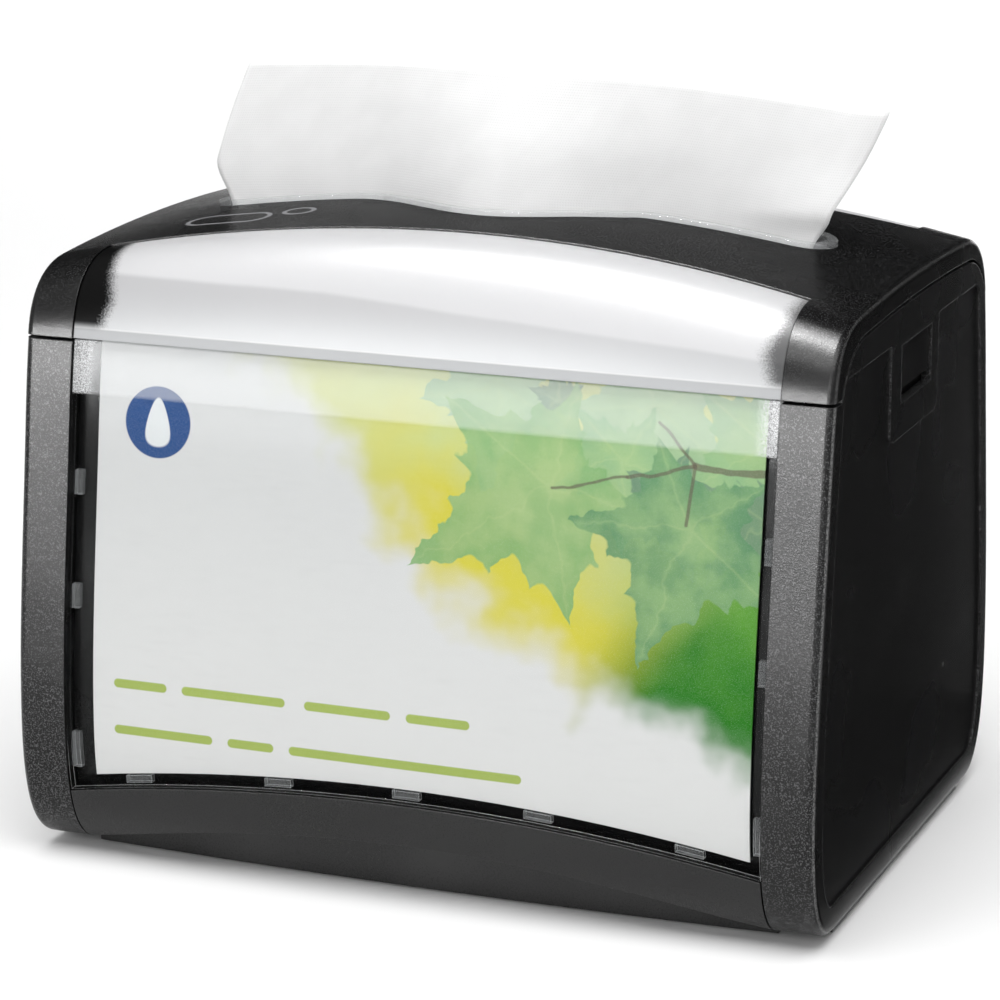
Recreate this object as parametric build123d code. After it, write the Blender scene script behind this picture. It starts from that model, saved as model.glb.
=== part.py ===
from build123d import *
import os
from math import atan2, cos, hypot, pi, sin, sqrt

# Tabletop napkin dispenser. Frame: origin at the middle of the footprint on the table, +Z up,
# +X to the right seen from the front, and the front window faces -Y. All sizes in millimetres.

# Driving dimensions of the housing
WIDTH = 201.0            # over the two side shells
PILLAR_INNER_X = 88.0    # inner edge of the front and rear pillars
WALL = 2.5               # moulded wall of shells, rails and cover
SHELL_BOTTOM_Z = 2.3     # the side shells stand on the base slab here
SEAM_Z = 128.3           # parting line between housing and cover
SEAM_GAP = 0.8           # visible gap along that line
TOP_Y = 65.0             # half depth of the housing at the seam
FLOOR_Y = 57.0           # half length of the flat underside of the side shells

# Side view of the front and rear walls: (half depth, height), from the seam down to the floor
WALL_POINTS = [(TOP_Y, SEAM_Z), (68.6, 103), (72.6, 71), (75.2, 38), (73.9, 19), (69.6, 8.4)]
WALL_POINTS += [(62.6, 3.0), (FLOOR_Y, SHELL_BOTTOM_Z)]
WALL_TOP_SLOPE = (0.2, -1)

# Arched top edge of the side walls, the side part of the parting line
ARCH_CENTRES_Y = (-42.0, 46.0)   # centres of the front and rear shoulder arcs
ARCH_CENTRE_Z = 120.0
ARCH_RADIUS = 19.6
ARCH_CROWN_Z = 140.7
ARCH_ROOT = 12.0         # how far the side wall's upper area reaches below the seam
EDGE_RADIUS = 2.0
SIDE_OPENING_Z = 118.3   # the side cavity is open upwards from here
RETURN_THICKNESS = 1.6   # inner side wall of a pillar
RETURN_DEPTH = 12.0

# Recessed panel, raised pad and push button on each side
PANEL_INSET = 6.8
PANEL_TOP_Z = 132.5
PANEL_DEPTH = 0.5
PAD_Y = (-20.4, 20.0)
PAD_BOTTOM_Z = 109.0
PAD_RADIUS = 3.0
BUTTON_HOLE_Y = (-12.0, 14.0)
BUTTON_HOLE_Z = (117.0, 131.0)
BUTTON_GAP = 0.3
BUTTON_FINGER_GAP = 2.5  # open strip under the button
BUTTON_RECESS = 0.8
BUTTON_CHAMFER = 0.5

# Works of the push button and the latch, inside the side shell
BUTTON_Y = 1.0           # centre of the button and of its stem
STEM_R = 3.0
STEM_Z = 122.0
STEM_START_X = 88.5
FLANGE_X = (95.6, 97.6)
FLANGE_SIDES = 2.0       # how far the flange stands out past the button's face
FLANGE_BELOW = 4.0
FLANGE_ABOVE = 1.5
RETURN_SPRING_R = 4.0
RETURN_SPRING_WIRE_R = 0.3
RETURN_SPRING_TURNS = 4
SPRING_PLAY = 0.05       # gap at each end of a spring
GUIDE_X = (88.2, 90.0)
GUIDE_Y = (-40.0, 42.0)
GUIDE_Z = (108.0, 115.0)
GUIDE_TOWER_Z = 127.5
GUIDE_TOWER_HALF = 9.0
GUIDE_POST = 4.0
PAWL_X = (88.4, 89.8)
PAWL_Z = (115.5, 125.0)
PAWL_FOOT_Z = 117.5
PAWL_ARM_Z = 119.0
PAWL_NOSE_X = 90.4
PAWL_NOSE_HALF = 1.6
PAWL_NOSE_Z = (121.5, 123.5)
CATCH_OFFSET = 20.0      # the two catches lie this far in front of and behind the button
CATCH_HALF = 3.0
CATCH_X = (90.8, 92.4)
CATCH_BOTTOM_Z = 118.5
CATCH_HOLE_HALF = 1.9
CATCH_HOLE_Z = (121.2, 123.8)

# Cover
COVER_BASE_Y = 65.2      # half depth at the cover's lower edge
CORNER_Y = 46.5          # half depth where the roof starts to turn down
ROOF_TOP_Z = 157.0       # crown at the middle of the roof
ROOF_SIDE_Z = 146.3      # crown line at the outer ends
ROOF_FALL = 1.5          # drop of the roof from its crown line to the corner
CORNER_FULLNESS = 0.58   # roundness of the corner curve, 0.55 for a circle
WINDOW_EDGE_Y = 44.0     # roof edge at the ends of the frosted windows
WINDOW_EDGE_BOW = 5.7    # how far that edge bows towards the middle of the roof
CORNER_LEAN = 0.16       # how far the corner curve leans in as it leaves the seam
COVER_WINDOW_SKIN = (0.5, 2.7)
LEDGE_SKIN = (2.9, 4.3)
LEDGE_WIDTH = 4.0
LEDGE_RISE = 1.5
CHEEK_THICKNESS = 2.0

# Hinge along the rear seam
HINGE_Y = 66.2
HINGE_Z = SEAM_Z
KNUCKLE_R = 2.4
KNUCKLE_CLEARANCE = 0.35
PIN_R = 1.2
PIN_FIT = 0.05
COVER_KNUCKLE_X = (89.0, 93.7)
SHELL_KNUCKLE_X = (94.2, 98.9)

# Wavy dispensing slot in the roof
SLOT_Y = 1.8             # centre line beside the wave
SLOT_WAVE = 15.8         # how far the middle of the slot swings to the front
WAVE_HALF_LENGTH = 42.0
SLOT_END_X = 71.5        # centre of the round ends
RIM_OUTER = 8.5
RIM_INNER = 6.0
RIM_HEIGHT = 1.0
RIM_DEPTH = 4.0          # the rim reaches this far below the roof's surface

# Windows, printed inserts and backing, measured inwards from the outer surface of the wall
RAIL_TOP_Z = (18.2, 25.8)      # at the pillars, at the middle
RAIL_BOTTOM_Z = (3.6, 15.2)
WINDOW_SKIN = (0.5, 2.5)
CLIP_SKIN = (2.6, 4.2)
INSERT_SKIN = (3.0, 3.5)
BACKING_SKIN = (4.4, 6.4)
INSERT_X = (-81.6, 84.4)
INSERT_TOP_Z = 128.2
SIDE_CLIP_X = (85.4, 87.4)
SIDE_CLIPS_Z = [(24.0, 33.0), (63.7, 69.5), (91.1, 96.9)]
CLIP_PLACES = [-70.0, -33.0, 0.0, 33.0, 70.0]
CLIP_HALF = 3.4
CLIP_RISE = 0.8          # lower edge of the clips above the rail
WINDOW_RISE = 0.3        # lower edge of the pane above the rail
INSERT_RISE = 3.2        # lower edge of the card above the rail
PILLAR_JOINT = 0.4       # thin joint between a pillar and what lies beside it
BACKING_BOTTOM_Z = 18.6
RAIL_TAB_X = (-60.0, 0.0, 60.0)
RAIL_TAB_HALF = 6.0
RAIL_TAB_Z = (16.0, 18.0)

# Base
BASE_BOTTOM_Z = 0.8
SLAB_HALF_SIZE = (99.0, 54.0)    # flat part that reaches under the side shells
BASE_Y = 59.0
BASE_BOW = 2.5           # the base's front and rear edges bow outwards
BASE_FLOOR_Z = 5.0
BASE_WALL_TOP_Z = 18.0
BASE_WALL = 2.0
SPRING_SEAT_HEIGHT = 5.0
FOOT_R = 6.0
FOOT_HEIGHT = 1.6
FOOT_PLACE = (80.0, 46.0)
SCREW_PLACE = (94.0, 45.0)
SCREW_R = 1.5
SCREW_LENGTH = 10.0
SCREW_HEAD_R = 3.1
SCREW_HEAD_HEIGHT = 0.9
SCREW_PLAY = 0.1
SCREW_SLOT = 0.8         # width of the cross slot
SCREW_SINK = 1.0         # depth of the pocket for the head
SCREW_BOSS_R = 3.4
SCREW_BOSS_HEIGHT = 11.0

# Magazine, lift plate and napkins
MAGAZINE_X = 83.0        # inner face of the side walls
MAGAZINE_Y = 54.2        # inner face of the front and rear walls
MAGAZINE_WALL = 1.8
MAGAZINE_TOP_Z = 120.0
LIFT_PLATE_Z = 46.5      # underside of the lift plate at rest
LIFT_PLATE_THICKNESS = 2.5
LIFT_PLATE_GAP = 0.8     # room round the plate in the magazine
LIFT_SKIRT = 4.0         # the plate's stiffening edge reaches this far down
LIFT_SKIRT_WALL = 2.0
LIFT_SPRING_X = 45.0
LIFT_SPRING_R = 9.0
SPRING_SEAT_R = 6.0      # bosses inside the lift springs
LIFT_SPRING_WIRE_R = 0.7
LIFT_SPRING_TURNS = 7
STACK_SIZE = (164.0, 106.0, 88.0)
NAPKIN_Y = -2.0
NAPKIN_WAVE = 12.0
NAPKIN_THICKNESS = 0.5
NAPKIN_HALF_WIDTH = 75.5
NAPKIN_BOTTOM_Z = 143.0
NAPKIN_TOP = [(-71, 186.2), (-10, 188.6), (25, 187.2), (91, 182.6)]
NAPKIN_RIGHT = [(91, 182.6), (80, 158.5), (NAPKIN_HALF_WIDTH, 153.5)]
NAPKIN_LEFT = [(-NAPKIN_HALF_WIDTH, 153.5), (-80, 161.5), (-71, 186.2)]

HALF_WIDTH = WIDTH / 2
FAR = 200.0              # longer than any part, for cutting tools


def block(x_range, y_range, z_range):
    """A plain box given by its limits along each axis."""
    size = [high - low for low, high in (x_range, y_range, z_range)]
    middle = [(high + low) / 2 for low, high in (x_range, y_range, z_range)]
    return Pos(*middle) * Box(*size)


def rod(axis, start, radius, length):
    """A cylinder that starts at a point and runs along X, Y or Z."""
    turn = {"X": Rot(0, 90, 0), "Y": Rot(-90, 0, 0), "Z": Rot(0, 0, 0)}[axis]
    align = (Align.CENTER, Align.CENTER, Align.MIN)
    return Pos(*start) * turn * Cylinder(radius, length, align=align)


def side_extrusion(face, x_start, x_end):
    """Push a side-view face, drawn as (y, z), from one X to another."""
    return extrude(Plane.YZ.offset(x_start) * face, amount=x_end - x_start, dir=(1, 0, 0))


def front_extrusion(face, y_start, y_end):
    """Push a front-view face, drawn as (x, z), from one Y to another."""
    return extrude(Plane.XZ.offset(-y_start) * face, amount=y_end - y_start, dir=(0, 1, 0))


def wall_edge(inset):
    """Rear wall in side view, from the seam to the floor, moved in along its own normal."""
    surface = Spline(*WALL_POINTS, tangents=[WALL_TOP_SLOPE, (-1, 0)])
    if not inset:
        return surface
    slant = hypot(*WALL_TOP_SLOPE)
    points = [(TOP_Y - inset * slant, SEAM_Z)]
    for y, z in WALL_POINTS[1:-1]:
        along = surface.tangent_at((y, z))
        points.append((y + inset * along.Y, z - inset * along.X))
    points.append((FLOOR_Y, SHELL_BOTTOM_Z + inset))
    return Spline(*points, tangents=[WALL_TOP_SLOPE, (-1, 0)])


def wall_outline(inset):
    """Side view of the housing below the seam, drawn in by an inset."""
    rear = wall_edge(inset)
    front = mirror(rear, about=Plane.YZ)
    top = Line(rear @ 0, front @ 0)
    floor = Line(rear @ 1, front @ 1)
    return make_face(Curve() + [rear, front, top, floor])


def arch_outline(shift):
    """Side view of the wall area under the arched parting line, grown by a shift."""
    radius = ARCH_RADIUS + shift
    rise = SEAM_Z - ARCH_CENTRE_Z
    reach = sqrt(radius**2 - rise**2)
    feet = [(ARCH_CENTRES_Y[0] - reach, SEAM_Z), (ARCH_CENTRES_Y[1] + reach, SEAM_Z)]
    tops = [(y, ARCH_CENTRE_Z + radius) for y in ARCH_CENTRES_Y]
    middles = []
    for y, side in zip(ARCH_CENTRES_Y, (-1, 1)):
        angle = (atan2(rise, reach) + pi / 2) / 2
        middles.append((y + side * radius * cos(angle), ARCH_CENTRE_Z + radius * sin(angle)))
    crown = (sum(ARCH_CENTRES_Y) / 2, ARCH_CROWN_Z + shift)
    low = SEAM_Z - ARCH_ROOT
    edges = [
        ThreePointArc(feet[0], middles[0], tops[0]),
        ThreePointArc(tops[0], crown, tops[1]),
        ThreePointArc(tops[1], middles[1], feet[1]),
        Polyline(feet[1], (feet[1][0], low), (feet[0][0], low), feet[0]),
    ]
    return make_face(Curve() + edges)


def skin(depths, half_width):
    """The layer of wall between two depths below the outer surface, front and rear in one."""
    outer, inner = depths
    layer = side_extrusion(wall_outline(outer), -half_width, half_width)
    return layer - side_extrusion(wall_outline(inner), -half_width - 1, half_width + 1)


def front_patch(low_edge, top_z):
    """Cutting block over an arched lower edge, as wide as the gap between the pillars."""
    side_z, middle_z = low_edge
    half = PILLAR_INNER_X
    arc = ThreePointArc((-half, side_z), (0, middle_z), (half, side_z))
    frame = Polyline((half, side_z), (half, top_z), (-half, top_z), (-half, side_z))
    return front_extrusion(make_face(Curve() + [arc, frame]), -FAR / 2, -FLOOR_Y)


def raised(edge, rise):
    """An arched edge moved up."""
    return tuple(z + rise for z in edge)


def section(x, inset):
    """Side view of the cover at one X, drawn in by an inset: the crown falls away to the ends."""
    top = ROOF_TOP_Z - (ROOF_TOP_Z - ROOF_SIDE_Z) * (x / HALF_WIDTH) ** 2 - inset
    base_z = SEAM_Z + SEAM_GAP / 2
    foot = COVER_BASE_Y - inset
    shoulder = top - ROOF_FALL
    rise = CORNER_FULLNESS * (shoulder - base_z)
    reach = CORNER_FULLNESS * (foot - CORNER_Y)
    slope = 2 * ROOF_FALL / CORNER_Y
    corner = [
        (foot, base_z),
        (foot - CORNER_LEAN * rise, base_z + rise),
        (CORNER_Y + reach, shoulder - slope * reach),
        (CORNER_Y, shoulder),
    ]
    rear = Bezier(*corner)
    front = mirror(rear, about=Plane.YZ)
    roof = ThreePointArc((-CORNER_Y, shoulder), (0, top), (CORNER_Y, shoulder))
    floor = Line((-foot, base_z), (foot, base_z))
    return Plane.YZ.offset(x) * make_face(Curve() + [rear, front, roof, floor])


def cover_body(inset, half_width):
    """Solid under the crowned roof, drawn in by an inset and cut to a half width."""
    sections = [section(x, inset) for x in (-half_width, 0, half_width)]
    return loft(sections)


def window_prism(half_width, margin):
    """Vertical block over the front window of the cover, bounded by the bowed roof edge."""
    edge = WINDOW_EDGE_Y + margin
    arc = ThreePointArc((-half_width, -edge), (0, -edge + WINDOW_EDGE_BOW), (half_width, -edge))
    sides = Polyline((half_width, -edge), (half_width, -FAR), (-half_width, -FAR), (-half_width, -edge))
    return Pos(0, 0, SEAM_Z - WALL) * extrude(make_face(Curve() + [arc, sides]), amount=FAR)


def wave(x, base, depth):
    """Centre line of the slot or the napkin: flat with one swing to the front in the middle."""
    if abs(x) >= WAVE_HALF_LENGTH:
        return base
    return base - depth * (1 + cos(pi * x / WAVE_HALF_LENGTH)) / 2


def wave_edge(base, depth, shift, end_x):
    """One long edge of a wavy strip, from the left end to the right end."""
    knots = [n * WAVE_HALF_LENGTH / 4 for n in range(-4, 5)]
    middle = Spline(*[(x, wave(x, base, depth) + shift) for x in knots], tangents=[(1, 0), (1, 0)])
    left = Line((-end_x, base + shift), (-WAVE_HALF_LENGTH, base + shift))
    right = Line((WAVE_HALF_LENGTH, base + shift), (end_x, base + shift))
    return [left, middle, right]


def slot_prism(half_gap):
    """Vertical block with the plan of the wavy slot, round at both ends."""
    edges = wave_edge(SLOT_Y, SLOT_WAVE, -half_gap, SLOT_END_X)
    edges += wave_edge(SLOT_Y, SLOT_WAVE, half_gap, SLOT_END_X)
    for side in (-1, 1):
        front = (side * SLOT_END_X, SLOT_Y - half_gap)
        tip = (side * (SLOT_END_X + half_gap), SLOT_Y)
        rear = (side * SLOT_END_X, SLOT_Y + half_gap)
        edges.append(ThreePointArc(front, tip, rear))
    return Pos(0, 0, SEAM_Z) * extrude(make_face(Curve() + edges), amount=FAR / 4)


def spring(radius, wire_r, height, turns):
    """Compression spring standing on the origin along +Z."""
    path = Helix(pitch=(height - 2 * wire_r) / turns, height=height - 2 * wire_r, radius=radius)
    start = Plane(origin=path @ 0, z_dir=path % 0)
    return Pos(0, 0, wire_r) * sweep(start * Circle(wire_r), path=path)


def base_plan(y_half, x_half):
    """Plan of the base tray: straight ends, front and rear edges bowed outwards."""
    front = ThreePointArc((-x_half, -y_half), (0, -y_half - BASE_BOW), (x_half, -y_half))
    rear = ThreePointArc((-x_half, y_half), (0, y_half + BASE_BOW), (x_half, y_half))
    ends = [Line((s * x_half, -y_half), (s * x_half, y_half)) for s in (-1, 1)]
    return make_face(Curve() + [front, rear, *ends])


def corners(place):
    """The four mirror images of a place on the base."""
    x, y = place
    return [(sx * x, sy * y) for sx in (-1, 1) for sy in (-1, 1)]


def base_plate():
    """Floor of the dispenser with bowed front and rear walls, foot pockets and screw holes."""
    x_half, y_half = SLAB_HALF_SIZE
    slab = block((-x_half, x_half), (-y_half, y_half), (BASE_BOTTOM_Z, SHELL_BOTTOM_Z))
    inside = PILLAR_INNER_X - PILLAR_JOINT
    tray = extrude(base_plan(BASE_Y, inside), amount=BASE_WALL_TOP_Z - BASE_BOTTOM_Z)
    hollow = extrude(base_plan(BASE_Y - BASE_WALL, FAR), amount=FAR / 4)
    tray -= Pos(0, 0, BASE_FLOOR_Z - BASE_BOTTOM_Z) * hollow
    base = slab + Pos(0, 0, BASE_BOTTOM_Z) * tray
    for side in (-1, 1):
        seat = (side * LIFT_SPRING_X, 0, BASE_FLOOR_Z)
        base += rod("Z", seat, SPRING_SEAT_R, SPRING_SEAT_HEIGHT)
    for x, y in corners(FOOT_PLACE):
        base -= rod("Z", (x, y, 0), FOOT_R + PIN_FIT, FOOT_HEIGHT)
    for x, y in corners(SCREW_PLACE):
        base -= rod("Z", (x, y, BASE_BOTTOM_Z), SCREW_HEAD_R + 2 * SCREW_PLAY, SCREW_SINK)
        base -= rod("Z", (x, y, 0), SCREW_R + SCREW_PLAY, SHELL_BOTTOM_Z)
    return base


def rubber_feet():
    """Four stick-on feet in the pockets of the base."""
    return [rod("Z", (x, y, 0), FOOT_R, FOOT_HEIGHT) for x, y in corners(FOOT_PLACE)]


def base_screws():
    """Four screws that hold the side shells down on the base."""
    screws = []
    for x, y in corners(SCREW_PLACE):
        low = BASE_BOTTOM_Z + SCREW_PLAY
        head = rod("Z", (x, y, low), SCREW_HEAD_R, SCREW_HEAD_HEIGHT)
        for half_x, half_y in [(SCREW_SLOT / 2, SCREW_HEAD_R / 1.5), (SCREW_HEAD_R / 1.5, SCREW_SLOT / 2)]:
            slot_z = (0, low + SCREW_HEAD_HEIGHT / 2)
            head -= block((x - half_x, x + half_x), (y - half_y, y + half_y), slot_z)
        screws.append(head + rod("Z", (x, y, low + SCREW_HEAD_HEIGHT / 1.1), SCREW_R, SCREW_LENGTH))
    return screws


def side_shell_right():
    """Right side shell: front and rear pillars, arched side wall, panel recess, button hole."""
    inner_x = HALF_WIDTH - WALL
    shell = side_extrusion(wall_outline(0), PILLAR_INNER_X, HALF_WIDTH)
    rim = shell.faces().sort_by(Axis.X)[-1].edges().sort_by(Axis.Z)[:-1]
    shell = fillet(rim, EDGE_RADIUS)
    shell -= side_extrusion(wall_outline(WALL), PILLAR_INNER_X - 1, inner_x)
    cavity_y = (WALL - TOP_Y, TOP_Y - WALL)
    shell -= block((PILLAR_INNER_X - 1, inner_x), cavity_y, (SIDE_OPENING_Z, FAR))
    shell -= block((0, FAR), (-FAR, FAR), (SEAM_Z - SEAM_GAP / 2, FAR))
    shell += side_extrusion(arch_outline(-SEAM_GAP / 2), inner_x, HALF_WIDTH)
    for sign in (-1, 1):
        shell += pillar_return(sign)
    shell -= side_panel_recess()
    shell -= block((inner_x - 1, FAR), BUTTON_HOLE_Y, BUTTON_HOLE_Z)
    shell += knuckle(SHELL_KNUCKLE_X)
    shell -= knuckle_relief(COVER_KNUCKLE_X)
    shell -= rod("X", (PILLAR_INNER_X, HINGE_Y, HINGE_Z), PIN_R + PIN_FIT, HALF_WIDTH)
    for y in (-SCREW_PLACE[1], SCREW_PLACE[1]):
        place = (SCREW_PLACE[0], y, SHELL_BOTTOM_Z)
        shell += rod("Z", place, SCREW_BOSS_R, SCREW_BOSS_HEIGHT)
        shell -= rod("Z", place, SCREW_R + PIN_FIT, SCREW_BOSS_HEIGHT - 1)
    return shell


def pillar_return(sign):
    """Inner side wall of a pillar, the black flank of the window channel."""
    end_x = PILLAR_INNER_X + RETURN_THICKNESS
    wall = side_extrusion(wall_outline(0), PILLAR_INNER_X, end_x)
    wall -= side_extrusion(wall_outline(RETURN_DEPTH), PILLAR_INNER_X - 1, end_x + 1)
    reach = sorted((sign * FLOOR_Y / 2, sign * FAR))
    return wall & block((0, FAR), reach, (SHELL_BOTTOM_Z, SEAM_Z - SEAM_GAP / 2))


def side_panel_recess():
    """Shallow recess that leaves a raised border and a raised pad round the button."""
    top_y = TOP_Y - PANEL_INSET
    roof = Rectangle(2 * top_y, 2 * (PANEL_TOP_Z - SEAM_Z))
    roof = fillet(roof.vertices().group_by(Axis.Y)[-1], PANEL_TOP_Z - SEAM_Z)
    panel = wall_outline(PANEL_INSET) + Pos(0, SEAM_Z) * roof
    pad = Rectangle(PAD_Y[1] - PAD_Y[0], 2 * (SEAM_Z - PAD_BOTTOM_Z))
    pad = fillet(pad.vertices(), PAD_RADIUS)
    pad = Pos((PAD_Y[0] + PAD_Y[1]) / 2, SEAM_Z) * pad
    return side_extrusion(panel - pad, HALF_WIDTH - PANEL_DEPTH, HALF_WIDTH + 1)


def knuckle(x_range):
    """Hinge barrel on the rear seam."""
    return rod("X", (x_range[0], HINGE_Y, HINGE_Z), KNUCKLE_R, x_range[1] - x_range[0])


def knuckle_relief(x_range):
    """Room round the other part's hinge barrel."""
    start = x_range[0] - KNUCKLE_CLEARANCE
    length = x_range[1] - x_range[0] + 2 * KNUCKLE_CLEARANCE
    return rod("X", (start, HINGE_Y, HINGE_Z), KNUCKLE_R + KNUCKLE_CLEARANCE, length)


def hinge_pins():
    """A steel pin through each pair of hinge barrels."""
    start = COVER_KNUCKLE_X[0] - 0.4
    pin = rod("X", (start, HINGE_Y, HINGE_Z), PIN_R, SHELL_KNUCKLE_X[1] + 0.4 - start)
    return [pin, mirror(pin, about=Plane.YZ)]


def front_rail():
    """Arched lower rail between the front pillars, with tabs back to the base."""
    base_front = -BASE_Y - BASE_BOW
    lens = front_patch(RAIL_BOTTOM_Z, FAR) - front_patch(RAIL_TOP_Z, FAR + 1)
    lens &= block((-FAR, FAR), (-FAR, base_front - PILLAR_JOINT), (0, FAR))
    rail = skin((0, WALL), PILLAR_INNER_X - PILLAR_JOINT) & lens
    inside = side_extrusion(wall_outline(WALL / 2), -FAR / 2, FAR / 2)
    inside -= extrude(base_plan(BASE_Y, PILLAR_INNER_X - PILLAR_JOINT), amount=FAR / 4)
    for x in RAIL_TAB_X:
        tab_x = (x - RAIL_TAB_HALF, x + RAIL_TAB_HALF)
        rail += block(tab_x, (-FAR, -BASE_Y), RAIL_TAB_Z) & inside
    return rail


def front_window():
    """Clear bulged pane between the front pillars, above the rail."""
    patch = front_patch(raised(RAIL_TOP_Z, WINDOW_RISE), SEAM_Z)
    return skin(WINDOW_SKIN, PILLAR_INNER_X - PILLAR_JOINT) & patch


def front_insert():
    """Printed card behind the clear pane."""
    patch = front_patch(raised(RAIL_TOP_Z, INSERT_RISE), INSERT_TOP_Z)
    return skin(INSERT_SKIN, PILLAR_INNER_X) & patch & block(INSERT_X, (-FAR, 0), (0, FAR))


def front_backing_panel():
    """Black panel behind the card, the wall of the window channel."""
    layer = skin(BACKING_SKIN, PILLAR_INNER_X - PILLAR_JOINT)
    return layer & block((-FAR, FAR), (-FAR, -FLOOR_Y), (BACKING_BOTTOM_Z, SEAM_Z - SEAM_GAP))


def front_window_clips():
    """Small clear clips in the channel round the card."""
    layer = skin(CLIP_SKIN, PILLAR_INNER_X)
    front = (-FAR, -FLOOR_Y)
    clips = []
    for z_range in SIDE_CLIPS_Z:
        for side in (-1, 1):
            reach = sorted(side * x for x in SIDE_CLIP_X)
            clips.append(layer & block(reach, front, z_range))
    band = front_patch(raised(RAIL_TOP_Z, CLIP_RISE), FAR)
    band -= front_patch(raised(RAIL_TOP_Z, INSERT_RISE - PILLAR_JOINT), FAR + 1)
    for x in CLIP_PLACES:
        clips.append(layer & band & block((x - CLIP_HALF, x + CLIP_HALF), front, (0, FAR)))
    return clips


def magazine_side_wall():
    """Right guide wall of the napkin stack."""
    x_range = (MAGAZINE_X, MAGAZINE_X + MAGAZINE_WALL)
    half = MAGAZINE_Y + MAGAZINE_WALL
    return block(x_range, (-half, half), (BASE_FLOOR_Z, MAGAZINE_TOP_Z))


def magazine_front_wall():
    """Front guide wall of the napkin stack."""
    y_range = (-MAGAZINE_Y - MAGAZINE_WALL, -MAGAZINE_Y)
    return block((-MAGAZINE_X, MAGAZINE_X), y_range, (BASE_FLOOR_Z, MAGAZINE_TOP_Z))


def lift_springs():
    """Two compression springs under the lift plate."""
    height = LIFT_PLATE_Z - BASE_FLOOR_Z - 2 * SPRING_PLAY
    coil = spring(LIFT_SPRING_R, LIFT_SPRING_WIRE_R, height, LIFT_SPRING_TURNS)
    return [Pos(side * LIFT_SPRING_X, 0, BASE_FLOOR_Z + SPRING_PLAY) * coil for side in (-1, 1)]


def lift_plate():
    """Plate under the napkins, with stiffening edges and spring bosses."""
    x_half, y_half = MAGAZINE_X - LIFT_PLATE_GAP, MAGAZINE_Y - LIFT_PLATE_GAP
    low = LIFT_PLATE_Z - LIFT_SKIRT
    plate = block((-x_half, x_half), (-y_half, y_half), (low, LIFT_PLATE_Z + LIFT_PLATE_THICKNESS))
    hollow_x, hollow_y = x_half - LIFT_SKIRT_WALL, y_half - LIFT_SKIRT_WALL
    plate -= block((-hollow_x, hollow_x), (-hollow_y, hollow_y), (0, LIFT_PLATE_Z))
    for side in (-1, 1):
        plate += rod("Z", (side * LIFT_SPRING_X, 0, low), SPRING_SEAT_R, LIFT_SKIRT)
    return plate


def napkin_stack():
    """Interfolded napkins as one block."""
    x_size, y_size, height = STACK_SIZE
    low = LIFT_PLATE_Z + LIFT_PLATE_THICKNESS
    return block((-x_size / 2, x_size / 2), (-y_size / 2, y_size / 2), (low, low + height))


def button_right():
    """Push button: face, retaining flange, guided stem and two latch pawls."""
    y_low, y_high = BUTTON_HOLE_Y[0] + BUTTON_GAP, BUTTON_HOLE_Y[1] - BUTTON_GAP
    z_low, z_high = BUTTON_HOLE_Z[0] + BUTTON_FINGER_GAP, BUTTON_HOLE_Z[1] - BUTTON_GAP
    face = block((FLANGE_X[1], HALF_WIDTH - BUTTON_RECESS), (y_low, y_high), (z_low, z_high))
    face = chamfer(face.faces().sort_by(Axis.X)[-1].edges(), BUTTON_CHAMFER)
    flange_y = (y_low - FLANGE_SIDES, y_high + FLANGE_SIDES)
    button = face + block(FLANGE_X, flange_y, (z_low - FLANGE_BELOW, z_high + FLANGE_ABOVE))
    button += rod("X", (STEM_START_X, BUTTON_Y, STEM_Z), STEM_R, FLANGE_X[0] - STEM_START_X)
    for sign in (-1, 1):
        button += latch_pawl(sign)
    return button


def latch_pawl(sign):
    """Arm from the flange to a catch of the cover, with a nose that points into its window."""
    y = BUTTON_Y + sign * CATCH_OFFSET
    width = (y - CATCH_HALF, y + CATCH_HALF)
    flange_end = BUTTON_Y + sign * GUIDE_TOWER_HALF
    span = sorted((flange_end + sign * CATCH_HALF, y + sign * CATCH_HALF))
    arm = block(FLANGE_X, span, (PAWL_Z[0], PAWL_ARM_Z))
    arm += block((PAWL_X[0], FLANGE_X[1]), width, (PAWL_Z[0], PAWL_FOOT_Z))
    arm += block(PAWL_X, width, PAWL_Z)
    nose_y = (y - PAWL_NOSE_HALF, y + PAWL_NOSE_HALF)
    return arm + block((PAWL_X[1], PAWL_NOSE_X), nose_y, PAWL_NOSE_Z)


def button_guide_right():
    """Bracket inside the side shell that guides the button's stem."""
    tower_y = (BUTTON_Y - GUIDE_TOWER_HALF, BUTTON_Y + GUIDE_TOWER_HALF)
    plate = block(GUIDE_X, GUIDE_Y, GUIDE_Z) + block(GUIDE_X, tower_y, (GUIDE_Z[0], GUIDE_TOWER_Z))
    for low in (GUIDE_Y[0], GUIDE_Y[1] - GUIDE_POST):
        plate += block((GUIDE_X[0], HALF_WIDTH - WALL), (low, low + GUIDE_POST), GUIDE_Z)
    return plate - rod("X", (GUIDE_X[0] - 1, BUTTON_Y, STEM_Z), STEM_R + PIN_FIT, WALL * 2)


def button_spring_right():
    """Return spring round the button's stem."""
    start = GUIDE_X[1] + SPRING_PLAY
    length = FLANGE_X[0] - SPRING_PLAY - start
    coil = spring(RETURN_SPRING_R, RETURN_SPRING_WIRE_R, length, RETURN_SPRING_TURNS)
    return Pos(start, BUTTON_Y, STEM_Z) * Rot(0, 90, 0) * coil


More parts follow.
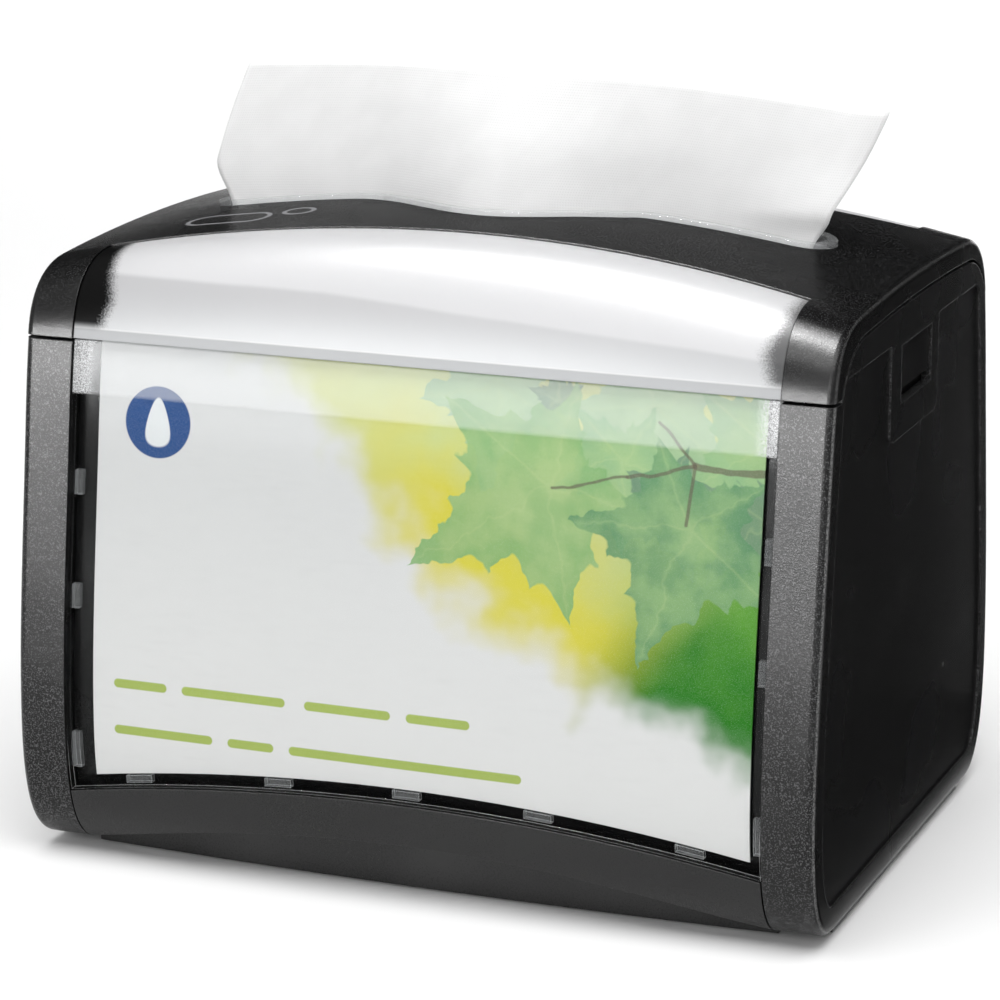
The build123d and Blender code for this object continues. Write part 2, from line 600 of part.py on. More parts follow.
def cover_shell():
    """Roof band and the four cheeks in one moulding, open at both windows and the slot."""
    shell = cover_body(0, HALF_WIDTH)
    sides = shell.faces().sort_by(Axis.X)
    rims = [edge for side in (sides[0], sides[-1]) for edge in side.edges().sort_by(Axis.Z)[1:]]
    shell = fillet(rims, EDGE_RADIUS)
    shell -= cover_body(WALL, HALF_WIDTH - WALL)
    prism = window_prism(PILLAR_INNER_X, 0)
    shell -= prism
    shell -= mirror(prism, about=Plane.XZ)
    for sign in (-1, 1):
        shell += cheek_wall(sign)
    low_side = arch_outline(SEAM_GAP / 2)
    for sign in (-1, 1):
        x_low, x_high = sorted((sign * (HALF_WIDTH - WALL - SEAM_GAP / 2), sign * FAR))
        shell -= side_extrusion(low_side, x_low, x_high)
    shell -= slot_prism(RIM_OUTER + 2 * PIN_FIT)
    hinge_x = COVER_KNUCKLE_X[0] - 1
    for flip in (False, True):
        barrel = knuckle(COVER_KNUCKLE_X)
        relief = knuckle_relief(SHELL_KNUCKLE_X)
        bore = rod("X", (hinge_x, HINGE_Y, HINGE_Z), PIN_R + PIN_FIT, HALF_WIDTH - hinge_x)
        if flip:
            barrel, relief, bore = [mirror(tool, about=Plane.YZ) for tool in (barrel, relief, bore)]
        shell = shell + barrel - relief - bore
    return shell


def cheek_wall(sign):
    """Inner wall beside the window bay with window ledges and two catches."""
    low, high = sorted((sign * PILLAR_INNER_X, sign * (PILLAR_INNER_X + CHEEK_THICKNESS)))
    wall = cover_body(WALL / 2, HALF_WIDTH - 1) & block((low, high), (-FAR, FAR), (0, FAR))
    ledge_x = sorted((sign * (PILLAR_INNER_X - LEDGE_WIDTH), sign * (PILLAR_INNER_X + 1)))
    ledge = cover_body(LEDGE_SKIN[0], HALF_WIDTH) - cover_body(LEDGE_SKIN[1], HALF_WIDTH + 1)
    wall += ledge & block(ledge_x, (-FAR, FAR), (SEAM_Z + LEDGE_RISE, FAR))
    catch_x = sorted(sign * x for x in CATCH_X)
    arm_x = sorted((sign * (PILLAR_INNER_X + 1), sign * CATCH_X[1]))
    for y in (BUTTON_Y - CATCH_OFFSET, BUTTON_Y + CATCH_OFFSET):
        width = (y - CATCH_HALF, y + CATCH_HALF)
        wall += block(arm_x, width, (SEAM_Z + 1, SEAM_Z + 1 + CHEEK_THICKNESS))
        wall += block(catch_x, width, (CATCH_BOTTOM_Z, SEAM_Z + CHEEK_THICKNESS))
        wall -= block(catch_x, (y - CATCH_HOLE_HALF, y + CATCH_HOLE_HALF), CATCH_HOLE_Z)
    return wall


def cover_front_window():
    """Frosted pane from the seam up to the roof edge."""
    outer, inner = COVER_WINDOW_SKIN
    pane = cover_body(outer, HALF_WIDTH) - cover_body(inner, HALF_WIDTH + 1)
    return pane & window_prism(PILLAR_INNER_X - PILLAR_JOINT / 2, PILLAR_JOINT / 2)


def slot_rim():
    """Clear wavy rim lining the slot."""
    ring = slot_prism(RIM_OUTER) - slot_prism(RIM_INNER)
    return ring & (cover_body(-RIM_HEIGHT, HALF_WIDTH) - cover_body(RIM_DEPTH, HALF_WIDTH + 1))


def feed_napkin():
    """Napkin standing in the slot, ready to be pulled."""
    half = NAPKIN_THICKNESS / 2
    end_x = NAPKIN_HALF_WIDTH + 20
    edges = wave_edge(NAPKIN_Y, NAPKIN_WAVE, -half, end_x) + wave_edge(NAPKIN_Y, NAPKIN_WAVE, half, end_x)
    edges += [Line((x, NAPKIN_Y - half), (x, NAPKIN_Y + half)) for x in (-end_x, end_x)]
    strip = Pos(0, 0, NAPKIN_BOTTOM_Z) * extrude(make_face(Curve() + edges), amount=FAR / 2)
    low = Polyline(NAPKIN_RIGHT[-1], (NAPKIN_HALF_WIDTH, 0), (-NAPKIN_HALF_WIDTH, 0), NAPKIN_LEFT[0])
    outline = [Spline(*NAPKIN_TOP), Polyline(*NAPKIN_RIGHT), low, Polyline(*NAPKIN_LEFT)]
    return strip & front_extrusion(make_face(Curve() + outline), -FAR / 2, FAR / 2)


def flipped(parts, plane):
    """Mirror image of one solid or of a list of solids."""
    if isinstance(parts, list):
        return [mirror(part, about=plane) for part in parts]
    return mirror(parts, about=plane)


def write(name, parts):
    """Write one node; a list becomes a group of separate solids."""
    solids = parts if isinstance(parts, list) else [parts]
    solids = [solid for part in solids for solid in part.solids()]
    shape = solids[0] if len(solids) == 1 else Compound(children=solids)
    export_step(shape, f"parts/{name}.step")
    print(name, len(solids), round(sum(solid.volume for solid in solids), 1))


os.makedirs("parts", exist_ok=True)

write("base_plate", base_plate())
write("rubber_feet", rubber_feet())
write("base_screws", base_screws())
write("hinge_pins", hinge_pins())
write("lift_springs", lift_springs())
write("lift_plate", lift_plate())
write("napkin_stack", napkin_stack())
write("cover_shell", cover_shell())
write("slot_rim", slot_rim())
write("feed_napkin", feed_napkin())

for right_name, builder in [
    ("side_shell", side_shell_right),
    ("magazine_wall", magazine_side_wall),
    ("button", button_right),
    ("button_guide", button_guide_right),
    ("button_spring", button_spring_right),
]:
    right_part = builder()
    write(f"{right_name}_right", right_part)
    write(f"{right_name}_left", flipped(right_part, Plane.YZ))

for base_name, builder in [
    ("rail", front_rail),
    ("window", front_window),
    ("insert", front_insert),
    ("backing_panel", front_backing_panel),
    ("window_clips", front_window_clips),
    ("magazine_wall", magazine_front_wall),
    ("cover_window", cover_front_window),
]:
    front_part = builder()
    write(f"{base_name}_front", front_part)
    write(f"{base_name}_rear", flipped(front_part, Plane.XZ))
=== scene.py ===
import math
import random

import bmesh
import bpy
from mathutils import Matrix, Vector


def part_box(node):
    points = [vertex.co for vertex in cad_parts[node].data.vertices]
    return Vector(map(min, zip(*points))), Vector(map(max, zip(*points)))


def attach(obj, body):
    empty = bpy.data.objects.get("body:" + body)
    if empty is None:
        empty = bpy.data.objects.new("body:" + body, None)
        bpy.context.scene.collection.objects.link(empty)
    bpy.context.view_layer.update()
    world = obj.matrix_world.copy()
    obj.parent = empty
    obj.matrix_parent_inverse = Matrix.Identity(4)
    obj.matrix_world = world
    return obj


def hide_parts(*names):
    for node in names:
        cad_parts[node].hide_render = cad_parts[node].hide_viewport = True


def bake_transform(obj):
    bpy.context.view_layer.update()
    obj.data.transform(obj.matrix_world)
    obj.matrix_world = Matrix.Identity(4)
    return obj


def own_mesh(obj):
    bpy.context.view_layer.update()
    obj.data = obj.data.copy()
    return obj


# Looks of a tabletop napkin dispenser. Metres, in the row frame: +X right, +Y to the rear, +Z up.
MM = 0.001

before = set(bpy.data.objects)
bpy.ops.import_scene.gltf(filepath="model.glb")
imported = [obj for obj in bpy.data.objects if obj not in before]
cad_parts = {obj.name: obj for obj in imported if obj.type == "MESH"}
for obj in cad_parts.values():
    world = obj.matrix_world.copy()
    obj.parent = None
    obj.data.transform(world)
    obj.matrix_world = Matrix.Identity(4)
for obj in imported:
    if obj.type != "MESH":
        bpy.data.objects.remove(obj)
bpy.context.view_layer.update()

# Camera
AZIMUTH = 21.70
ELEVATION = 15.03
ROLL = -0.16
LENS = 139.6
SENSOR = 36.0
TARGET = Vector((-4.8, 0.0, 80.7)) * MM
DISTANCE = 960.6 * MM


# ---------------------------------------------------------------- shader building

def srgb(red, green, blue):
    """Linear colour from display values of 0..255."""
    def linear(value):
        value /= 255
        return value / 12.92 if value <= 0.04045 else ((value + 0.055) / 1.055) ** 2.4
    return (linear(red), linear(green), linear(blue))


class Shader:
    """A material with one output, and short calls that add nodes to it."""

    def __init__(self, name):
        self.material = bpy.data.materials.new(name)
        self.material.use_nodes = True
        self.tree = self.material.node_tree
        self.tree.nodes.clear()
        self.output = self.node("ShaderNodeOutputMaterial")
        self.place = self.node("ShaderNodeTexCoord").outputs["Object"]

    def node(self, kind, **settings):
        """A node with its settings; sockets are set by fill()."""
        made = self.tree.nodes.new(kind)
        for key, value in settings.items():
            setattr(made, key, value)
        return made

    def fill(self, socket, value):
        """Link a socket to another one, or set its value."""
        if isinstance(value, bpy.types.NodeSocket):
            self.tree.links.new(value, socket)
        elif isinstance(value, tuple) and len(value) == 3 and len(socket.default_value) == 4:
            socket.default_value = (*value, 1.0)
        else:
            socket.default_value = value

    def math(self, operation, *values, clamp=False):
        """A Math node on numbers or sockets."""
        made = self.node("ShaderNodeMath", operation=operation, use_clamp=clamp)
        for socket, value in zip(made.inputs, values):
            self.fill(socket, value)
        return made.outputs[0]

    def ramp(self, value, low, high, out_low=0.0, out_high=1.0):
        """Smooth step of a value from one range to another."""
        made = self.node("ShaderNodeMapRange", interpolation_type="SMOOTHSTEP")
        for socket, number in zip(made.inputs, (value, low, high, out_low, out_high)):
            self.fill(socket, number)
        return made.outputs[0]

    def mix(self, share, first, second, blend="MIX"):
        """Mix of two colours."""
        made = self.node("ShaderNodeMix", data_type="RGBA", blend_type=blend)
        self.fill(made.inputs[0], share)
        self.fill(made.inputs[6], first)
        self.fill(made.inputs[7], second)
        return made.outputs[2]

    def position(self):
        """x, y and z of the surface point in millimetres."""
        split = self.node("ShaderNodeSeparateXYZ")
        self.fill(split.inputs[0], self.place)
        return [self.math("MULTIPLY", split.outputs[i], 1000.0) for i in (0, 1, 2)]

    def facing(self):
        """How far the surface faces sideways along X, and how far it faces up."""
        split = self.node("ShaderNodeSeparateXYZ")
        self.fill(split.inputs[0], self.node("ShaderNodeTexCoord").outputs["Normal"])
        return self.math("ABSOLUTE", split.outputs[0]), split.outputs[2]

    def noise(self, size, detail=2.0, roughness=0.5, stretch=None):
        """Noise whose features are about size metres wide."""
        where = self.place
        if stretch:
            mapping = self.node("ShaderNodeMapping")
            self.fill(mapping.inputs["Vector"], where)
            mapping.inputs["Scale"].default_value = stretch
            where = mapping.outputs[0]
        made = self.node("ShaderNodeTexNoise")
        self.fill(made.inputs["Vector"], where)
        made.inputs["Scale"].default_value = 1.0 / size
        made.inputs["Detail"].default_value = detail
        made.inputs["Roughness"].default_value = roughness
        return made.outputs["Fac"]

    def bump(self, height, strength, distance, normal=None):
        """Bump from a height in 0..1 that stands for a relief of distance metres."""
        made = self.node("ShaderNodeBump")
        made.inputs["Strength"].default_value = strength
        made.inputs["Distance"].default_value = distance
        self.fill(made.inputs["Height"], height)
        if normal is not None:
            self.fill(made.inputs["Normal"], normal)
        return made.outputs[0]

    def soft_edges(self, radius):
        """Normal rounded at sharp edges, and a mask of those edges."""
        bevel = self.node("ShaderNodeBevel", samples=4)
        bevel.inputs["Radius"].default_value = radius
        geometry = self.node("ShaderNodeNewGeometry")
        dot = self.node("ShaderNodeVectorMath", operation="DOT_PRODUCT")
        self.fill(dot.inputs[0], bevel.outputs[0])
        self.fill(dot.inputs[1], geometry.outputs["Normal"])
        edge = self.ramp(dot.outputs["Value"], 0.995, 0.80)
        return bevel.outputs[0], edge

    def principled(self, **values):
        """A Principled shader with its sockets filled; spaces in names are underscores here."""
        made = self.node("ShaderNodeBsdfPrincipled")
        for key, value in values.items():
            self.fill(made.inputs[key.replace("_", " ")], value)
        return made

    def finish(self, surface):
        """Use a shader socket as the surface."""
        self.fill(self.output.inputs["Surface"], surface)
        return self.material


def moulded(name, tone, speck, grain, relief, roughness, gloss=0.40, edge_radius=0.35 * MM, marks=None):
    """Black moulded plastic: spark-eroded grain, faint flow marks, polished and paler edges, and a painted
    highlight along rounded corners that face partly sideways.
    """
    s = Shader(name)
    normal, edge = s.soft_edges(edge_radius)
    sideways, upwards = s.facing()
    textured = s.ramp(sideways, 0.90, 0.60, 0.12, 1.0)
    fine = s.noise(grain, detail=3.0, roughness=0.65)
    coarse = s.noise(grain * 3.2, detail=2.0)
    broad = s.noise(38 * MM, detail=2.0)
    height = s.math("ADD", s.math("MULTIPLY", fine, 0.65), s.math("MULTIPLY", coarse, 0.35))
    height = s.math("MULTIPLY", height, textured)
    pips = s.math("MULTIPLY", s.ramp(fine, 0.53, 0.60), textured)
    colour = s.mix(pips, (tone,) * 3, (speck, speck, speck * 1.03))
    colour = s.mix(s.ramp(broad, 0.35, 0.7, 0.0, 0.25), colour, (tone * 1.5,) * 3)
    colour = s.mix(s.math("MULTIPLY", edge, 0.22), colour, (speck * 1.5,) * 3)
    # Painted highlight: rounded corners facing partly sideways are painted paler, in grained flecks, for the
    # light line along them.
    corner = s.math("MULTIPLY", s.ramp(sideways, 0.68, 0.80), s.ramp(sideways, 0.97, 0.88))
    corner = s.math("MULTIPLY", corner, s.ramp(fine, 0.40, 0.60, 0.10, 0.55))
    colour = s.mix(corner, colour, (speck * 3.0,) * 3)
    if marks:
        mask = marks(s)
        colour = s.mix(s.math("MULTIPLY", mask, 0.75), colour, (0.24, 0.24, 0.25))
        height = s.math("ADD", height, s.math("MULTIPLY", mask, 0.6))
    rough = s.ramp(broad, 0.3, 0.7, roughness - 0.035, roughness + 0.045)
    rough = s.math("SUBTRACT", rough, s.math("MULTIPLY", edge, 0.08))
    rough = s.math("SUBTRACT", rough, s.math("MULTIPLY", pips, 0.06))
    shader = s.principled(Base_Color=colour, Roughness=rough, Normal=s.bump(height, 0.9, relief, normal))
    s.fill(shader.inputs["Specular IOR Level"], s.ramp(upwards, 0.55, 0.92, gloss, gloss * 0.035))
    return s.finish(shader.outputs[0])


# Plain raised outlines on the roof: middle x, middle y, half length, half width, corner radius
ROOF_MARKS = [(-65.0, -26.0, 10.5, 5.0, 5.0), (-48.5, -21.0, 3.6, 3.6, 3.6)]


def roof_marks(s):
    """Mask of a plain long ring and a plain round ring on the roof."""
    x, y, z = s.position()
    total = 0.0
    for middle_x, middle_y, half_x, half_y, corner in ROOF_MARKS:
        dx = s.math("SUBTRACT", s.math("ABSOLUTE", s.math("SUBTRACT", x, middle_x)), half_x - corner)
        dy = s.math("SUBTRACT", s.math("ABSOLUTE", s.math("SUBTRACT", y, middle_y)), half_y - corner)
        dx, dy = s.math("MAXIMUM", dx, 0.0), s.math("MAXIMUM", dy, 0.0)
        away = s.math("SQRT", s.math("ADD", s.math("MULTIPLY", dx, dx), s.math("MULTIPLY", dy, dy)))
        off = s.math("ABSOLUTE", s.math("SUBTRACT", away, corner))
        total = s.math("ADD", total, s.ramp(off, 0.75, 0.45), clamp=True)
    return s.math("MULTIPLY", total, s.math("GREATER_THAN", z, 140.0))


HAZE_Z = 115.8           # the clear panes are hazy above this height
WINDOW_HALF = (81.6, 84.6)       # and sandy from here outwards, along X
BAY_SHADE_LEFT = (76.5, 80.5)       # where painted shade of the dark bay behind the frosted pane lies
BAY_SHADE_RIGHT = (80.5, 85.5)
HIGHLIGHT_STEP_Z = 143.4     # the milky pane is painted whiter above this height, a painted highlight,
HIGHLIGHT_STEP_FALL = 0.064  # and the step falls this much per millimetre
HIGHLIGHT_STEP_X = -25.0     # to the right of here
LIP_Z = 131.3            # polished lip below this height


def clear_plastic(name, haze_z=None, milk_and_painted_light=0.0):
    """Clear styrene: see-through and glossy, hazy above haze_z millimetres, with a painted glint on its sharp
    edges that is strongest low down; the last argument is the pale share, a painted highlight.
    """
    s = Shader(name)
    normal, edge = s.soft_edges(0.25 * MM)
    waves = s.noise(22 * MM, detail=1.0)
    scuffs = s.noise(1.1 * MM, detail=4.0, stretch=(0.15, 1.0, 1.0))
    sand = s.noise(0.34 * MM, detail=3.0, roughness=0.7)
    x, _, z = s.position()
    rough = s.ramp(scuffs, 0.45, 0.8, 0.04, 0.12)
    # Painted glint: sharp edges are painted pale and made less see-through, fully so below 26 mm.
    painted_edge_glint = s.math("MULTIPLY", edge, s.ramp(z, 34.0, 26.0, 0.25, 1.0))
    tint = s.mix(painted_edge_glint, (0.01, 0.01, 0.01), (0.88, 0.89, 0.90))
    # Painted highlight: a pale share, varied by scuffs, stands in for the bright lines on the slot rim and
    # clips.
    if milk_and_painted_light:
        tint = s.mix(s.ramp(scuffs, 0.3, 0.7, 0.7, 0.9), tint, (0.80, 0.81, 0.82))
    if haze_z:
        haze = s.ramp(z, haze_z - 0.3, haze_z + 0.3)
        ends = s.ramp(s.math("ABSOLUTE", x), *WINDOW_HALF)
        tint = s.mix(haze, tint, (0.60, 0.61, 0.62))
        rough = s.math("ADD", rough, s.math("MULTIPLY", haze, 0.25))
    surface = s.principled(Base_Color=tint, Roughness=rough, Normal=s.bump(waves, 0.25, 0.2 * MM, normal))
    surface.inputs["IOR"].default_value = 1.5
    through = s.node("ShaderNodeBsdfTransparent")
    through.inputs["Color"].default_value = (0.985, 0.99, 0.99, 1.0)
    fresnel = s.node("ShaderNodeFresnel")
    fresnel.inputs["IOR"].default_value = 1.40
    mirror = s.ramp(z, 104.0, 117.0, 0.32, 0.12)
    share = s.math("ADD", s.math("MULTIPLY", fresnel.outputs[0], mirror), s.math("MULTIPLY", painted_edge_glint, 0.75))
    share = s.math("ADD", share, s.ramp(scuffs, 0.5, 0.8, 0.004 + milk_and_painted_light, 0.02 + milk_and_painted_light))
    if haze_z:
        speckle = s.math("MULTIPLY_ADD", s.ramp(sand, 0.40, 0.62, 0.0, 0.32), ends, 0.11)
        share = s.math("ADD", share, s.math("MULTIPLY", haze, speckle), clamp=True)
    both = s.node("ShaderNodeMixShader")
    s.fill(both.inputs[0], share)
    s.fill(both.inputs[1], through.outputs[0])
    s.fill(both.inputs[2], surface.outputs[0])
    return s.finish(both.outputs[0])


def frosted_plastic():
    """Frosted pane: milky, painted whiter above a step as a painted highlight, a clear lip below with a
    painted highlight line along its top, and painted shade of the dark bay at both ends.
    """
    s = Shader("frosted_plastic")
    normal, edge = s.soft_edges(0.4 * MM)
    grain = s.noise(0.35 * MM, detail=2.0)
    sand = s.noise(0.42 * MM, detail=3.0, roughness=0.7)
    cloud = s.noise(26 * MM, detail=2.0, stretch=(0.35, 1.0, 1.0))
    x, _, z = s.position()
    milk_and_painted_light = s.mix(s.ramp(z, LIP_Z, HIGHLIGHT_STEP_Z), (0.72, 0.73, 0.74), (0.60, 0.60, 0.61))
    # Painted shade: the pane is painted greyer towards both ends.
    milk_and_painted_light = s.mix(s.ramp(s.math("ABSOLUTE", x), 25.0, 84.0, 0.0, 0.16), milk_and_painted_light, (0.36, 0.36, 0.37))
    milk_and_painted_light = s.mix(s.ramp(cloud, 0.3, 0.7, 0.0, 0.10), milk_and_painted_light, (0.90, 0.90, 0.90))
    # Painted highlight: the pane is painted whiter above a wavering step that falls towards the right.
    fall = s.math("MAXIMUM", s.math("SUBTRACT", x, HIGHLIGHT_STEP_X), 0.0)
    waver = s.math("MULTIPLY_ADD", s.noise(30 * MM), 1.0, HIGHLIGHT_STEP_Z - 0.5)
    waver = s.math("SUBTRACT", waver, s.math("MULTIPLY", fall, HIGHLIGHT_STEP_FALL))
    above = s.ramp(s.math("SUBTRACT", z, waver), -0.4, 0.9)
    milk_and_painted_light = s.mix(above, milk_and_painted_light, (0.74, 0.74, 0.75))
    lip = s.ramp(z, LIP_Z + 0.2, LIP_Z - 0.2)
    milk_and_painted_light = s.mix(s.math("MULTIPLY", lip, 0.8), milk_and_painted_light, (0.50, 0.51, 0.52))
    # Painted highlight: a thin pale line along the top edge of the lip.
    line = s.ramp(s.math("ABSOLUTE", s.math("SUBTRACT", z, LIP_Z)), 0.35, 0.1)
    milk_and_painted_light = s.mix(s.math("MULTIPLY", line, 0.45), milk_and_painted_light, (0.90, 0.90, 0.90))
    # Painted shade: near black where the dark bay behind the pane would show, at both ends.
    bay_shade = painted_bay_shade(s, x, z, sand)
    milk_and_painted_light = s.mix(bay_shade, milk_and_painted_light, (0.006, 0.006, 0.006))
    surface = s.principled(Base_Color=milk_and_painted_light, Roughness=s.ramp(grain, 0.3, 0.7, 0.30, 0.40),
                           Normal=s.bump(grain, 0.35, 0.03 * MM, normal))
    dull = s.math("MAXIMUM", bay_shade, s.math("MULTIPLY", lip, 0.7))
    s.fill(surface.inputs["Specular IOR Level"], s.ramp(dull, 0.0, 1.0, 0.30, 0.06))
    glow = s.node("ShaderNodeBsdfTranslucent")
    s.fill(glow.inputs["Color"], milk_and_painted_light)
    both = s.node("ShaderNodeMixShader")
    s.fill(both.inputs[0], s.ramp(edge, 0.0, 1.0, 0.62, 0.75))
    s.fill(both.inputs[1], glow.outputs[0])
    s.fill(both.inputs[2], surface.outputs[0])
    return s.finish(both.outputs[0])


def painted_bay_shade(s, x, z, sand):
    """Share of painted shade near the pane's two ends, standing for the dark bay behind it."""
    blur = s.math("MULTIPLY", s.math("SUBTRACT", sand, 0.5), 5.0)
    slant = s.math("MULTIPLY", s.math("ABSOLUTE", s.math("SUBTRACT", z, 138.0)), 0.35)
    left = s.math("SUBTRACT", s.math("ADD", s.math("MULTIPLY", x, -1.0), blur), slant)
    right = s.math("SUBTRACT", s.math("ADD", x, blur), slant)
    ends = s.math("ADD", s.ramp(left, *BAY_SHADE_LEFT), s.ramp(right, *BAY_SHADE_RIGHT, 0.0, 0.8), clamp=True)
    return s.math("MULTIPLY", ends, s.ramp(z, LIP_Z - 1.0, LIP_Z + 1.6))


def brushed_steel():
    """Drawn spring and screw steel."""
    s = Shader("steel")
    normal, _ = s.soft_edges(0.15 * MM)
    drawn = s.noise(0.25 * MM, detail=3.0, stretch=(1.0, 1.0, 0.2))
    colour = s.mix(drawn, (0.42, 0.42, 0.43), (0.66, 0.66, 0.67))
    shader = s.principled(Base_Color=colour, Roughness=s.ramp(drawn, 0.3, 0.7, 0.22, 0.4),
                          Normal=s.bump(drawn, 0.3, 0.02 * MM, normal))
    shader.inputs["Metallic"].default_value = 1.0
    return s.finish(shader.outputs[0])


def foot_rubber():
    """Dull rubber with dust in its pores."""
    s = Shader("foot_rubber")
    normal, _ = s.soft_edges(0.3 * MM)
    pores = s.noise(0.4 * MM, detail=4.0)
    colour = s.mix(s.ramp(pores, 0.5, 0.75), (0.022, 0.022, 0.023), (0.07, 0.068, 0.065))
    shader = s.principled(Base_Color=colour, Roughness=s.ramp(pores, 0.3, 0.7, 0.65, 0.9),
                          Normal=s.bump(pores, 0.6, 0.05 * MM, normal))
    return s.finish(shader.outputs[0])


def tissue(name, use_uv):
    """Soft paper with a fine grid of embossed dots, painted darker as painted shade, fibres and a little
    light coming through.
    """
    s = Shader(name)
    if use_uv:
        s.place = s.node("ShaderNodeTexCoord").outputs["UV"]
    split = s.node("ShaderNodeSeparateXYZ")
    s.fill(split.inputs[0], s.place)
    pitch = 2 * math.pi / (1.25 * MM)
    first, second = (split.outputs[0], split.outputs[1 if use_uv else 2])
    across = s.math("SINE", s.math("MULTIPLY", s.math("ADD", first, second), pitch))
    along = s.math("SINE", s.math("MULTIPLY", s.math("SUBTRACT", first, second), pitch))
    dots = s.ramp(s.math("MULTIPLY", across, along), 0.25, 0.85)
    fibres = s.noise(0.5 * MM, detail=4.0, roughness=0.7)
    cloud = s.noise(9 * MM, detail=3.0)
    # Painted shade: the embossed dots are painted darker as well as bumped.
    tone = s.math("SUBTRACT", s.ramp(cloud, 0.3, 0.7, 0.875, 0.905), s.math("MULTIPLY", dots, 0.075))
    shade = s.node("ShaderNodeCombineColor")
    for socket in shade.inputs:
        s.fill(socket, tone)
    height = s.math("SUBTRACT", s.math("MULTIPLY", fibres, 0.4), s.math("MULTIPLY", dots, 0.8))
    normal = s.bump(height, 0.6, 0.09 * MM)
    surface = s.principled(Base_Color=shade.outputs[0], Roughness=0.92, Normal=normal)
    surface.inputs["Specular IOR Level"].default_value = 0.0
    glow = s.node("ShaderNodeBsdfTranslucent")
    s.fill(glow.inputs["Color"], shade.outputs[0])
    both = s.node("ShaderNodeMixShader")
    both.inputs[0].default_value = 0.28
    s.fill(both.inputs[1], surface.outputs[0])
    s.fill(both.inputs[2], glow.outputs[0])
    return s.finish(both.outputs[0])


# ---------------------------------------------------------------- printed card

LEAF_LOBES = 2.6


def leaf_group():
    """Node group that draws one lobed leaf: its mask, its veins and how near its edge a point is."""
    tree = bpy.data.node_groups.new("leaf", "ShaderNodeTree")
    for name in ("X", "Z", "Middle X", "Middle Z", "Turn", "Size"):
        tree.interface.new_socket(name, in_out="INPUT", socket_type="NodeSocketFloat")
    for name in ("Mask", "Vein", "Depth"):
        tree.interface.new_socket(name, in_out="OUTPUT", socket_type="NodeSocketFloat")
    into = tree.nodes.new("NodeGroupInput").outputs
    out = tree.nodes.new("NodeGroupOutput").inputs

    def math_node(operation, *values, clamp=False):
        made = tree.nodes.new("ShaderNodeMath")
        made.operation = operation
        made.use_clamp = clamp
        for socket, value in zip(made.inputs, values):
            if isinstance(value, bpy.types.NodeSocket):
                tree.links.new(value, socket)
            else:
                socket.default_value = value
        return made.outputs[0]

    dx = math_node("SUBTRACT", into["X"], into["Middle X"])
    dz = math_node("SUBTRACT", into["Z"], into["Middle Z"])
    turned = math_node("SUBTRACT", math_node("ARCTAN2", dz, dx), into["Turn"])
    angle = math_node("WRAP", turned, math.pi, -math.pi)
    radius = math_node("SQRT", math_node("ADD", math_node("MULTIPLY", dx, dx), math_node("MULTIPLY", dz, dz)))
    phase = math_node("MULTIPLY", angle, LEAF_LOBES)
    notch = math_node("POWER", math_node("ABSOLUTE", math_node("SINE", phase)), 0.85)
    teeth = math_node("ABSOLUTE", math_node("SINE", math_node("MULTIPLY", phase, 3.0)))
    reach = math_node("SUBTRACT", 1.0, math_node("MULTIPLY", notch, 0.37))
    reach = math_node("SUBTRACT", reach, math_node("MULTIPLY", teeth, 0.12))
    taper = math_node("SUBTRACT", 1.0, math_node("MULTIPLY", math_node("ABSOLUTE", angle), 0.15))
    reach = math_node("MULTIPLY", math_node("MULTIPLY", reach, taper), into["Size"])
    spare = math_node("SUBTRACT", reach, radius)
    tree.links.new(math_node("MULTIPLY_ADD", spare, 1.6, 0.5, clamp=True), out["Mask"])
    side = math_node("MULTIPLY", math_node("ABSOLUTE", math_node("SINE", phase)), radius)
    line = math_node("SUBTRACT", 1.0, math_node("MULTIPLY", side, 0.80), clamp=True)
    inside = math_node("MULTIPLY_ADD", spare, 0.25, 0.0, clamp=True)
    tree.links.new(math_node("MULTIPLY", line, inside), out["Vein"])
    tree.links.new(math_node("DIVIDE", radius, reach, clamp=True), out["Depth"])
    return tree


# Greens of the printed leaves: light, dark
MIST_GREEN = (srgb(176, 205, 160), srgb(156, 192, 150))
PALE_GREEN = (srgb(170, 202, 142), srgb(142, 186, 136))
MID_GREEN = (srgb(176, 204, 140), srgb(134, 182, 116))
DEEP_GREEN = (srgb(158, 194, 132), srgb(98, 152, 106))
DUSK_GREEN = (srgb(136, 168, 130), srgb(110, 146, 118))
# Leaves, rear ones first: middle x, middle z, direction in degrees, size, greens
LEAVES = [
    (20, 126, 262, 25, MIST_GREEN),
    (58, 124, 255, 30, MIST_GREEN),
    (84, 118, 215, 24, PALE_GREEN),
    (50, 112, 275, 23, PALE_GREEN),
    (62, 104, 290, 20, DUSK_GREEN),
    (86, 100, 222, 21, DUSK_GREEN),
    (34, 124, 95, 9, DUSK_GREEN),
    (33, 104, 214, 40, MID_GREEN),
    (67, 98, 252, 35, DEEP_GREEN),
]
# Twigs: start x, start z, end x, end z, half width
TWIGS = [
    (34, 104, 52, 107.5, 0.30),
    (52, 107.5, 68, 112, 0.40),
    (68, 112, 86, 111, 0.70),
    (68, 112, 59, 121, 0.30),
    (68, 112, 66.5, 98, 0.35),
]
WASH_START = (-30.0, 122.0)   # the coloured wash runs from here
WASH_END = (82.0, 46.0)       # to here, along its lower left border
WASH_BELLY = 15.0             # and bulges this far beyond the straight line
CARD_TONE = 0.84              # how light the card's bare paper is


